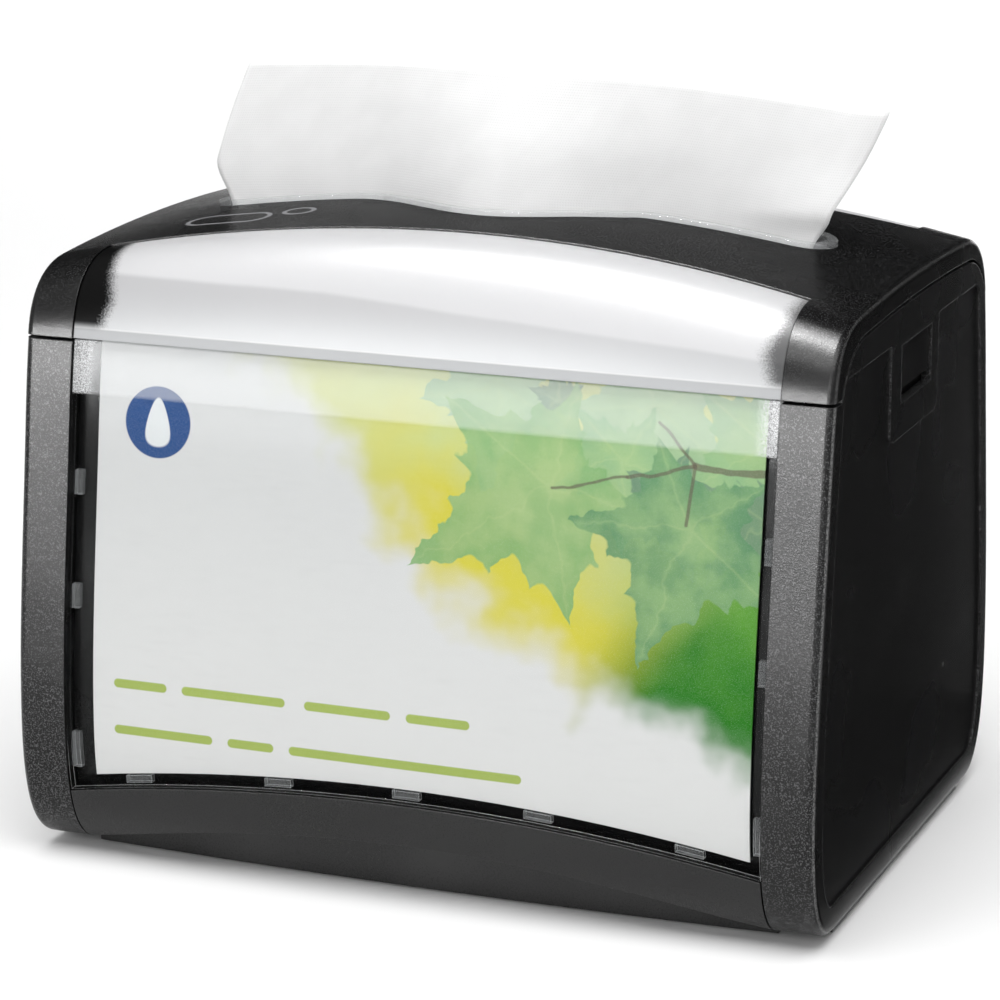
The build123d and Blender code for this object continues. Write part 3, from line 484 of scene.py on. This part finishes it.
def printed_card(name, mirrored):
    """Satin card with a pale ground, a soft green wash and lobed leaves of a generic kind."""
    s = Shader(name)
    x, _, z = s.position()
    if mirrored:
        x = s.math("MULTIPLY", x, -1.0)
    colour = wash(s, x, z)
    colour = leaves(s, colour, x, z)
    colour = twigs(s, colour, x, z)
    colour = badge_and_bars(s, colour, x, z)
    dots = s.noise(0.30 * MM, detail=2.0)
    colour = s.mix(1.0, colour, (CARD_TONE,) * 3, blend="MULTIPLY")
    colour = s.mix(s.ramp(dots, 0.35, 0.75, 0.0, 0.05), colour, (0.80, 0.80, 0.80))
    normal = s.bump(s.noise(0.6 * MM, detail=3.0), 0.2, 0.02 * MM)
    shader = s.principled(Base_Color=colour, Roughness=s.ramp(dots, 0.3, 0.7, 0.42, 0.52), Normal=normal)
    shader.inputs["Specular IOR Level"].default_value = 0.05
    return s.finish(shader.outputs[0])


def wash(s, x, z):
    """Ground colour: pale grey, painted darker towards the top as painted shade, then yellow green behind a
    soft bulging border.
    """
    (x0, z0), (x1, z1) = WASH_START, WASH_END
    length = math.hypot(x1 - x0, z1 - z0)
    ux, uz = (x1 - x0) / length, (z1 - z0) / length
    from_x, from_z = s.math("SUBTRACT", x, x0), s.math("SUBTRACT", z, z0)
    along = s.math("ADD", s.math("MULTIPLY", from_x, ux), s.math("MULTIPLY", from_z, uz))
    depth = s.math("SUBTRACT", s.math("MULTIPLY", from_z, ux), s.math("MULTIPLY", from_x, uz))
    belly = s.math("SINE", s.math("MULTIPLY", s.math("MAXIMUM", along, 0.0), math.pi / length))
    depth = s.math("MULTIPLY_ADD", belly, WASH_BELLY, depth)
    blot = s.noise(13 * MM, detail=2.0)
    depth = s.math("ADD", depth, s.math("MULTIPLY", s.math("SUBTRACT", blot, 0.5), 30.0))
    # Painted shade: the pale ground is darker towards the top.
    ground = s.mix(s.ramp(z, 20.0, 125.0), srgb(240, 239, 238), srgb(223, 223, 223))
    low = s.mix(s.ramp(along, 8.0, 50.0), srgb(209, 214, 140), srgb(224, 214, 66))
    low = s.mix(s.ramp(along, 88.0, 112.0), low, srgb(34, 126, 12))
    high = s.mix(s.ramp(along, 0.0, 80.0), srgb(204, 217, 150), srgb(206, 214, 136))
    high = s.mix(s.ramp(along, 80.0, 120.0), high, srgb(92, 162, 48))
    tint = s.mix(s.ramp(depth, 8.0, 36.0), low, high)
    return s.mix(s.ramp(depth, -8.0, 11.0), ground, tint)


def twigs(s, colour, x, z):
    """Thin grey brown twigs over the leaves."""
    waver = s.math("MULTIPLY", s.math("SUBTRACT", s.noise(9 * MM, detail=2.0), 0.5), 3.0)
    z = s.math("ADD", z, waver)
    for x0, z0, x1, z1, half in TWIGS:
        dx, dz = x1 - x0, z1 - z0
        from_x, from_z = s.math("SUBTRACT", x, float(x0)), s.math("SUBTRACT", z, float(z0))
        share = s.math("ADD", s.math("MULTIPLY", from_x, dx), s.math("MULTIPLY", from_z, dz))
        share = s.math("DIVIDE", share, dx * dx + dz * dz, clamp=True)
        off_x = s.math("SUBTRACT", from_x, s.math("MULTIPLY", share, dx))
        off_z = s.math("SUBTRACT", from_z, s.math("MULTIPLY", share, dz))
        squares = s.math("ADD", s.math("MULTIPLY", off_x, off_x), s.math("MULTIPLY", off_z, off_z))
        off = s.math("SQRT", squares)
        colour = s.mix(s.ramp(off, half + 0.25, half - 0.15, 0.0, 0.75), colour, srgb(104, 98, 80))
    return colour


def leaves(s, colour, x, z):
    """The leaves, with notched edges, faint veins and blotchy greens."""
    big = s.math("SUBTRACT", s.noise(8 * MM, detail=2.0), 0.5)
    small = s.math("SUBTRACT", s.noise(2.4 * MM, detail=1.0), 0.5)
    shift = s.math("ADD", s.math("MULTIPLY", big, 6.0), s.math("MULTIPLY", small, 1.6))
    ragged_x, ragged_z = s.math("ADD", x, shift), s.math("SUBTRACT", z, shift)
    blot = s.noise(8 * MM, detail=3.0)
    group = bpy.data.node_groups.get("leaf") or leaf_group()
    for middle_x, middle_z, turn, size, (light, dark) in LEAVES:
        leaf = s.node("ShaderNodeGroup", node_tree=group)
        values = (ragged_x, ragged_z, float(middle_x), float(middle_z), math.radians(turn), float(size))
        for socket, value in zip(leaf.inputs, values):
            s.fill(socket, value)
        depth = s.math("MULTIPLY", leaf.outputs["Depth"], 0.5)
        shade = s.math("ADD", s.ramp(blot, 0.35, 0.65, 0.0, 0.5), depth)
        body = s.mix(shade, light, dark)
        body = s.mix(s.math("MULTIPLY", leaf.outputs["Vein"], 0.17), body, srgb(205, 219, 160))
        colour = s.mix(s.math("MULTIPLY", leaf.outputs["Mask"], 0.92), colour, body)
    return colour


BADGE = (-66.0, 110.0, 8.5)          # a plain round badge: middle x, middle z, radius
# Rows of bars: height, then where each bar starts and ends along X
BAR_ROWS = [
    (46.5, [(-76, -62), (-58, -31), (-26, -4), (0, 16)]),
    (35.0, [(-76, -50), (-46, -34), (-30, 29)]),
]
BAR_HALF = 1.1
BADGE_BLUE = srgb(36, 78, 138)
DROP_WHITE = (0.82, 0.84, 0.85)
BAR_GREEN = (0.44, 0.55, 0.13)


def badge_and_bars(s, colour, x, z):
    """A plain round badge with a drop in it, and two rows of plain rounded bars."""
    middle_x, middle_z, radius = BADGE
    dx, dz = s.math("SUBTRACT", x, middle_x), s.math("SUBTRACT", z, middle_z)
    away = s.math("SQRT", s.math("ADD", s.math("MULTIPLY", dx, dx), s.math("MULTIPLY", dz, dz)))
    colour = s.mix(s.ramp(away, radius + 0.2, radius - 0.2), colour, BADGE_BLUE)
    lift = s.math("MULTIPLY", dz, 0.62)
    narrow = s.math("MULTIPLY", s.math("ABSOLUTE", dx), s.math("MULTIPLY_ADD", dz, 0.10, 1.25))
    drop = s.math("SQRT", s.math("ADD", s.math("MULTIPLY", lift, lift), s.math("MULTIPLY", narrow, narrow)))
    colour = s.mix(s.ramp(drop, 3.8, 3.4), colour, DROP_WHITE)
    for height, bars in BAR_ROWS:
        slant = s.math("SUBTRACT", z, height)
        for start, end in bars:
            past = s.math("SUBTRACT", s.math("ABSOLUTE", s.math("SUBTRACT", x, (start + end) / 2)),
                          (end - start) / 2 - BAR_HALF)
            past = s.math("MAXIMUM", past, 0.0)
            squares = s.math("ADD", s.math("MULTIPLY", past, past), s.math("MULTIPLY", slant, slant))
            off = s.math("SQRT", squares)
            colour = s.mix(s.ramp(off, BAR_HALF + 0.15, BAR_HALF - 0.15), colour, BAR_GREEN)
    return colour


# ---------------------------------------------------------------- meshes

def new_piece(name, bm, material, smooth=True):
    """An object made from a bmesh."""
    mesh = bpy.data.meshes.new(name)
    bm.normal_update()
    bm.to_mesh(mesh)
    bm.free()
    for polygon in mesh.polygons:
        polygon.use_smooth = smooth
    mesh.materials.append(material)
    piece = bpy.data.objects.new(name, mesh)
    bpy.context.scene.collection.objects.link(piece)
    return piece


def grid_faces(bm, rows, closed=False):
    """Faces between neighbouring rows of vertices."""
    faces = []
    for low, high in zip(rows, rows[1:]):
        count = len(low) if closed else len(low) - 1
        for i in range(count):
            j = (i + 1) % len(low)
            faces.append(bm.faces.new((low[i], low[j], high[j], high[i])))
    return faces


def tube(bm, path, radius, sides=10):
    """A round wire along a list of points, closed at both ends."""
    rows = []
    for i, point in enumerate(path):
        ahead = path[min(i + 1, len(path) - 1)] - path[max(i - 1, 0)]
        ahead.normalize()
        across = ahead.cross(Vector((0.0, 0.0, 1.0)))
        across = across.normalized() if across.length > 1e-6 else Vector((1.0, 0.0, 0.0))
        up = across.cross(ahead)
        ring = []
        for k in range(sides):
            a = 2 * math.pi * k / sides
            ring.append(bm.verts.new(point + radius * (math.cos(a) * across + math.sin(a) * up)))
        rows.append(ring)
    grid_faces(bm, rows, closed=True)
    bm.faces.new(rows[0][::-1])
    bm.faces.new(rows[-1])


def coil_path(radius, height, turns, wire):
    """Centre line of a compression spring on the origin, with a flat coil at each end."""
    steps = 28
    total = turns + 2
    points = []
    for i in range(total * steps + 1):
        turn = i / steps
        share = min(max((turn - 1) / turns, 0.0), 1.0)
        flat = min(turn, 1.0) + max(turn - turns - 1, 0.0)
        z = wire * (1 + flat * 2.05) + share * (height - 2 * wire - 2 * 2.05 * wire)
        a = 2 * math.pi * turn
        points.append(Vector((radius * math.cos(a), radius * math.sin(a), z)))
    return points


# ---------------------------------------------------------------- napkins

NAPKIN_WIDTH = 165 * MM
NAPKIN_LENGTH = 213 * MM
PLY = 0.18 * MM
WAVE_HALF = 42 * MM
WAVE_DEPTH = 12 * MM


def smooth(t):
    """Smooth step of 0..1."""
    t = min(max(t, 0.0), 1.0)
    return t * t * (3 - 2 * t)


def napkin_line(x):
    """How far the standing napkin swings to the front at an x."""
    if abs(x) >= WAVE_HALF:
        return 0.0
    return -WAVE_DEPTH * (1 + math.cos(math.pi * x / WAVE_HALF)) / 2


class Napkin:
    """The napkin in the slot: it stands up out of it, and its tail lies folded on the stack."""

    LEFT_TOP, RIGHT_TOP = (-70.2, 186.6), (93.0, 183.4)
    LEFT_WIDEST, RIGHT_WIDEST = (-79.6, 161.5), (80, 158.5)
    SLOT_HALF = 75.3
    SLOT_TOP = 153.5
    SIDE_BULGE = 0.6
    BEND = 1.3 * MM
    FOLD = 0.32 * MM
    ARCH = 4.0               # the top edge rises this much between its corners
    RELAX_FROM = 154         # the slot's wave fades from this height,
    RELAX_OVER = 34          # over this many millimetres,
    RELAX_SHARE = 0.6        # by this share
    ROWS, COLUMNS = 150, 110

    def __init__(self):
        low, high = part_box("feed_napkin")
        stack_low, stack_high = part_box("napkin_stack")
        self.base_y = high.y - PLY
        self.tail_z = stack_high.z + 1.75 * MM
        self.rear_y = stack_high.y - 3.5 * MM
        self.front_y = stack_low.y + 1.5 * MM

    def side_x(self, z, top, widest):
        """x of a side edge at a height, in metres."""
        half = math.copysign(self.SLOT_HALF, top[0])
        if z > widest[1]:
            share = (z - widest[1]) / (top[1] - widest[1])
            bulge = self.SIDE_BULGE * math.sin(math.pi * share) * math.copysign(1, top[0])
            return (widest[0] + (top[0] - widest[0]) * share + bulge) * MM
        share = smooth((z - self.SLOT_TOP + 4) / (widest[1] - self.SLOT_TOP + 4))
        return (half + (widest[0] - half) * share) * MM

    def point(self, u, s):
        """A point u across (0..1) and s metres down from the top edge."""
        top_z = self.LEFT_TOP[1] + (self.RIGHT_TOP[1] - self.LEFT_TOP[1]) * u
        top_z += self.ARCH * math.sin(math.pi * min(1.0, u * 1.05)) ** 0.9
        stand = top_z * MM - self.tail_z - self.BEND
        z = top_z * MM - min(s, stand)
        left = self.side_x(z / MM, self.LEFT_TOP, self.LEFT_WIDEST)
        right = self.side_x(z / MM, self.RIGHT_TOP, self.RIGHT_WIDEST)
        x = left + (right - left) * u
        relaxed = min(max((z / MM - self.RELAX_FROM) / self.RELAX_OVER, 0.0), 1.0)
        swing = napkin_line(x) * (1 - self.RELAX_SHARE * relaxed)
        y = self.base_y + swing + self.lean(u, z)
        rest = s - stand
        if rest <= 0:
            return Vector((x, y, z))
        return self.tail(u, x, y, rest)

    def lean(self, u, z):
        """Soft bulges of the standing part, none of them in the slot."""
        up = smooth((z / MM - 156) / 20)
        roll = smooth((u - 0.80) / 0.20) * smooth((172 - z / MM) / 16) * smooth((z / MM - 153) / 6)
        curl = smooth((u - 0.97) / 0.03) * up
        return (1.4 * math.sin(u * 7.0 + 0.6) * up * 0.6 - 1.6 * roll + 1.2 * curl) * MM

    def tail(self, u, x, y, rest):
        """The part that lies on the stack, folded twice."""
        wide = (u - 0.5) * NAPKIN_WIDTH
        x = x + (wide - x) * smooth(rest / (18 * MM))
        quarter = math.pi / 2 * self.BEND
        if rest < quarter:
            a = rest / self.BEND
            return Vector((x, y + self.BEND * (1 - math.cos(a)), self.tail_z + self.BEND * (1 - math.sin(a))))
        rest -= quarter
        y, z, ahead = y + self.BEND, self.tail_z, 1
        while True:
            run = (self.rear_y - y) if ahead > 0 else (y - self.front_y)
            if rest <= run:
                return Vector((x, y + ahead * rest, z))
            y, rest = y + ahead * run, rest - run
            turn = math.pi * self.FOLD
            if rest <= turn:
                a = rest / self.FOLD
                out = ahead * self.FOLD * math.sin(a)
                return Vector((x, y + out, z - self.FOLD * (1 - math.cos(a))))
            rest -= turn
            z -= 2 * self.FOLD
            ahead = -ahead

    def build(self, material):
        """The whole napkin as one thin closed sheet."""
        bm = bmesh.new()
        uv = bm.loops.layers.uv.new("cut")
        across, down = self.COLUMNS, self.ROWS
        rows = []
        where = {}
        for j in range(down + 1):
            row = []
            for i in range(across + 1):
                u, s = i / across, NAPKIN_LENGTH * (j / down)
                vert = bm.verts.new(self.point(u, s))
                where[vert] = (u * NAPKIN_WIDTH, s)
                row.append(vert)
            rows.append(row)
        for face in grid_faces(bm, rows):
            for loop in face.loops:
                loop[uv].uv = where[loop.vert]
        piece = new_piece("standing_napkin", bm, material)
        thick = piece.modifiers.new("ply", "SOLIDIFY")
        thick.thickness = PLY
        thick.offset = 0.0
        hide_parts("feed_napkin")
        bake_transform(piece)
        return piece


PACK_COUNT = 46          # folded napkins shown in the stack
PACK_SEED = 11
PACK_FILL = 0.97         # share of its place in the stack that each one fills


def napkin_pack(material):
    """The stack of folded napkins: each is a soft slab with rounded folds and a slightly uneven edge."""
    random.seed(PACK_SEED)
    low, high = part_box("napkin_stack")
    pitch = (high.z - low.z) / PACK_COUNT
    bm = bmesh.new()
    across = 12
    for n in range(PACK_COUNT):
        z0 = low.z + n * pitch
        shift_y = random.uniform(-0.25, 0.25) * MM
        inset = random.uniform(0.2, 0.9) * MM
        half = pitch * PACK_FILL / 2
        profile = []
        for side in (1, -1):
            for k in range(7):
                a = math.pi * (k / 6 - 0.5)
                reach = (high.y - low.y) / 2 - half - inset
                profile.append((side * (reach + half * math.cos(a)), half * math.sin(a) * side))
        rows = []
        for i in range(across + 1):
            share = i / across
            edge = inset * 0.5
            x = low.x + edge + (high.x - low.x - 2 * edge) * share
            sag = 0.12 * MM * math.sin(share * 9 + n)
            rows.append([bm.verts.new((x, y + shift_y + sag, z0 + pitch / 2 + z)) for y, z in profile])
        grid_faces(bm, rows, closed=True)
        bm.faces.new(rows[0][::-1])
        bm.faces.new(rows[-1])
    bmesh.ops.recalc_face_normals(bm, faces=bm.faces)
    piece = new_piece("napkin_pack", bm, material)
    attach(piece, "lift")
    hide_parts("napkin_stack")
    return piece


# ---------------------------------------------------------------- springs

LIFT_WIRE = 0.7 * MM
LIFT_TURNS = 6
BUTTON_WIRE = 0.3 * MM
BUTTON_TURNS = 3


def lift_springs(material):
    """Two helical springs in the place of the CAD springs, fixed to the housing."""
    low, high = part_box("lift_springs")
    radius = (high.y - low.y) / 2 - LIFT_WIRE
    bm = bmesh.new()
    for x in (low.x + radius + LIFT_WIRE, high.x - radius - LIFT_WIRE):
        coil = coil_path(radius, high.z - low.z, LIFT_TURNS, LIFT_WIRE)
        tube(bm, [Vector((x, 0, low.z)) + p for p in coil], LIFT_WIRE)
    bmesh.ops.recalc_face_normals(bm, faces=bm.faces)
    piece = new_piece("lift_spring_coils", bm, material)
    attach(piece, "housing")
    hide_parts("lift_springs")
    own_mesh(piece)


def button_spring(side, material):
    """Return spring of one button."""
    node = f"button_spring_{side}"
    low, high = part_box(node)
    radius = (high.z - low.z) / 2 - BUTTON_WIRE
    length = high.x - low.x
    middle = (low + high) / 2
    outwards = 1 if middle.x > 0 else -1
    start = low.x if outwards > 0 else high.x
    bm = bmesh.new()
    path = []
    for p in coil_path(radius, length, BUTTON_TURNS, BUTTON_WIRE):
        path.append(Vector((start + outwards * p.z, middle.y + p.x, middle.z + p.y)))
    tube(bm, path, BUTTON_WIRE, sides=8)
    bmesh.ops.recalc_face_normals(bm, faces=bm.faces)
    piece = new_piece(f"{node}_coil", bm, material)
    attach(piece, "housing")
    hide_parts(node)
    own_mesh(piece)


# ---------------------------------------------------------------- stage

WORLD_LIGHT = 0.36
FLOOR_HALF_WIDTH = 6.0
# Side view of the floor and backdrop: y, z
FLOOR_LINE = [(-4.0, 0.0), (0.0, 0.0), (3.0, 0.0), (3.8, 0.15), (4.3, 0.6), (4.5, 1.2), (4.5, 4.0)]


def build_stage():
    """Pale floor that curves up far behind, and the world."""
    s = Shader("studio_paper")
    tone = s.noise(0.4, detail=2.0)
    shader = s.principled(Base_Color=s.mix(tone, (0.86, 0.86, 0.86), (0.88, 0.88, 0.88)), Roughness=0.9)
    shader.inputs["Specular IOR Level"].default_value = 0.1
    paper = s.finish(shader.outputs[0])
    bm = bmesh.new()
    rows = []
    for y, z in FLOOR_LINE:
        rows.append([bm.verts.new((x, y, z)) for x in (-FLOOR_HALF_WIDTH, 0.0, FLOOR_HALF_WIDTH)])
    grid_faces(bm, rows)
    floor = new_piece("floor", bm, paper)
    world = bpy.data.worlds.new("studio")
    bpy.context.scene.world = world
    world.use_nodes = True
    background = world.node_tree.nodes["Background"]
    background.inputs["Color"].default_value = (1.0, 1.0, 1.0, 1.0)
    background.inputs["Strength"].default_value = WORLD_LIGHT
    bpy.context.scene.view_settings.view_transform = "Standard"


# Dark flags that only show in glossy reflections: four corners each
FLAGS = {
    "flag_rear": [(-1.2, 0.42, 0.16), (1.2, 0.42, 0.16), (1.2, 0.42, 0.62), (-1.2, 0.42, 0.62)],
    "flag_right": [(0.108, 0.13, 0.0), (0.33, 0.13, 0.0), (0.33, 0.13, 0.6), (0.108, 0.13, 0.6)],
    "flag_low": [(0.104, -0.07, 0.001), (0.24, -0.07, 0.001), (0.24, 0.13, 0.001), (0.104, 0.13, 0.001)],
}


def build_flags():
    """Black studio flags beside and behind the object."""
    s = Shader("flag_cloth")
    weave = s.noise(2 * MM, detail=2.0)
    shader = s.principled(Base_Color=s.mix(weave, (0.006,) * 3, (0.012,) * 3), Roughness=1.0)
    shader.inputs["Specular IOR Level"].default_value = 0.0
    cloth = s.finish(shader.outputs[0])
    for name, corners in FLAGS.items():
        bm = bmesh.new()
        bm.faces.new([bm.verts.new(corner) for corner in corners])
        piece = new_piece(name, bm, cloth, smooth=False)
        for ray in ("camera", "diffuse", "transmission", "volume_scatter", "shadow"):
            setattr(piece, f"visible_{ray}", False)


# Lights: name, place, where it points, width, height, power, spread in degrees,
# and whether it only shows in glossy reflections
LIGHTS = [
    ("overhead", (0.10, -0.50, 1.30), (0, 0, 0.1), 1.5, 1.1, 21.0, 180, False),
    ("front", (0.4, -2.3, 0.9), (0, 0, 0.08), 1.2, 1.2, 18.0, 180, False),
    ("strip", (-0.76, -1.95, 0.30), (0, 0, 0.12), 1.3, 0.18, 60.0, 180, True),
    ("cheek", (-0.018, -0.045, 0.53), (0.094, -0.058, 0.14), 0.26, 0.22, 1.3, 50, True),
    ("backdrop", (0.0, 2.2, 2.6), (0, 4.4, 0.8), 3.0, 1.0, 180.0, 180, False),
]


def build_lights():
    """Soft boxes."""
    for name, place, aim, width, height, power, spread, glossy_only in LIGHTS:
        data = bpy.data.lights.new(name, "AREA")
        data.shape = "RECTANGLE"
        data.size = width
        data.size_y = height
        data.energy = power
        data.spread = math.radians(spread)
        lamp = bpy.data.objects.new(name, data)
        lamp.location = place
        lamp.rotation_mode = "QUATERNION"
        lamp.rotation_quaternion = (Vector(aim) - Vector(place)).to_track_quat("-Z", "Y")
        lamp.visible_diffuse = not glossy_only
        lamp.visible_transmission = not glossy_only
        bpy.context.scene.collection.objects.link(lamp)


def build_camera():
    """Camera at the reference view."""
    a, e = math.radians(AZIMUTH), math.radians(ELEVATION)
    back = Vector((math.sin(a) * math.cos(e), -math.cos(a) * math.cos(e), math.sin(e)))
    right = (-back).cross(Vector((0, 0, 1))).normalized()
    up = right.cross(-back)
    turn = Matrix((right, up, back)).transposed().to_4x4()
    data = bpy.data.cameras.new("camera")
    data.lens = LENS
    data.sensor_width = SENSOR
    data.clip_start = 0.01
    data.clip_end = 50.0
    camera = bpy.data.objects.new("camera", data)
    roll = Matrix.Rotation(math.radians(ROLL), 4, "Z")
    camera.matrix_world = Matrix.Translation(TARGET + back * DISTANCE) @ turn @ roll
    bpy.context.scene.collection.objects.link(camera)
    bpy.context.scene.camera = camera


# ---------------------------------------------------------------- put together

def paint(material, *nodes):
    """Give CAD nodes a material."""
    for name in nodes:
        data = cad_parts[name].data
        data.materials.clear()
        data.materials.append(material)


def pair(name, ends=("right", "left")):
    """Names of a pair of nodes."""
    return [f"{name}_{end}" for end in ends]


grained = moulded("black_grained", 0.006, 0.085, 0.38 * MM, 0.06 * MM, 0.26, gloss=0.20)
roof = moulded("black_grained_roof", 0.004, 0.030, 0.38 * MM, 0.04 * MM, 0.26, gloss=0.30, marks=roof_marks)
satin = moulded("black_satin", 0.008, 0.014, 0.35 * MM, 0.04 * MM, 0.30, gloss=0.30)
inner = moulded("black_inner", 0.004, 0.008, 0.30 * MM, 0.01 * MM, 0.16, gloss=0.14)
window_pane = clear_plastic("clear_plastic_window", haze_z=HAZE_Z)
# The pale share of the slot rim and the clips is a painted highlight.
clear_rim = clear_plastic("clear_plastic_rim", milk_and_painted_light=0.13)
clear_clip = clear_plastic("clear_plastic_clip", milk_and_painted_light=0.09)
steel = brushed_steel()

FRONT_REAR = ("front", "rear")
paint(grained, *pair("side_shell"))
paint(roof, "cover_shell")
paint(satin, "base_plate", *pair("button"), *pair("rail", FRONT_REAR))
paint(inner, "lift_plate", *pair("magazine_wall"), *pair("magazine_wall", FRONT_REAR))
paint(inner, *pair("button_guide"), *pair("backing_panel", FRONT_REAR))
paint(clear_rim, "slot_rim")
paint(clear_clip, *pair("window_clips", FRONT_REAR))
paint(window_pane, *pair("window", FRONT_REAR))
paint(frosted_plastic(), *pair("cover_window", FRONT_REAR))
paint(printed_card("printed_card_front", False), "insert_front")
paint(printed_card("printed_card_rear", True), "insert_rear")
paint(steel, "base_screws", "hinge_pins")
paint(foot_rubber(), "rubber_feet")

napkin_pack(tissue("tissue_stack", False))
Napkin().build(tissue("tissue_sheet", True))
lift_springs(steel)
for side in ("right", "left"):
    button_spring(side, steel)

build_stage()
build_flags()
build_lights()
build_camera()
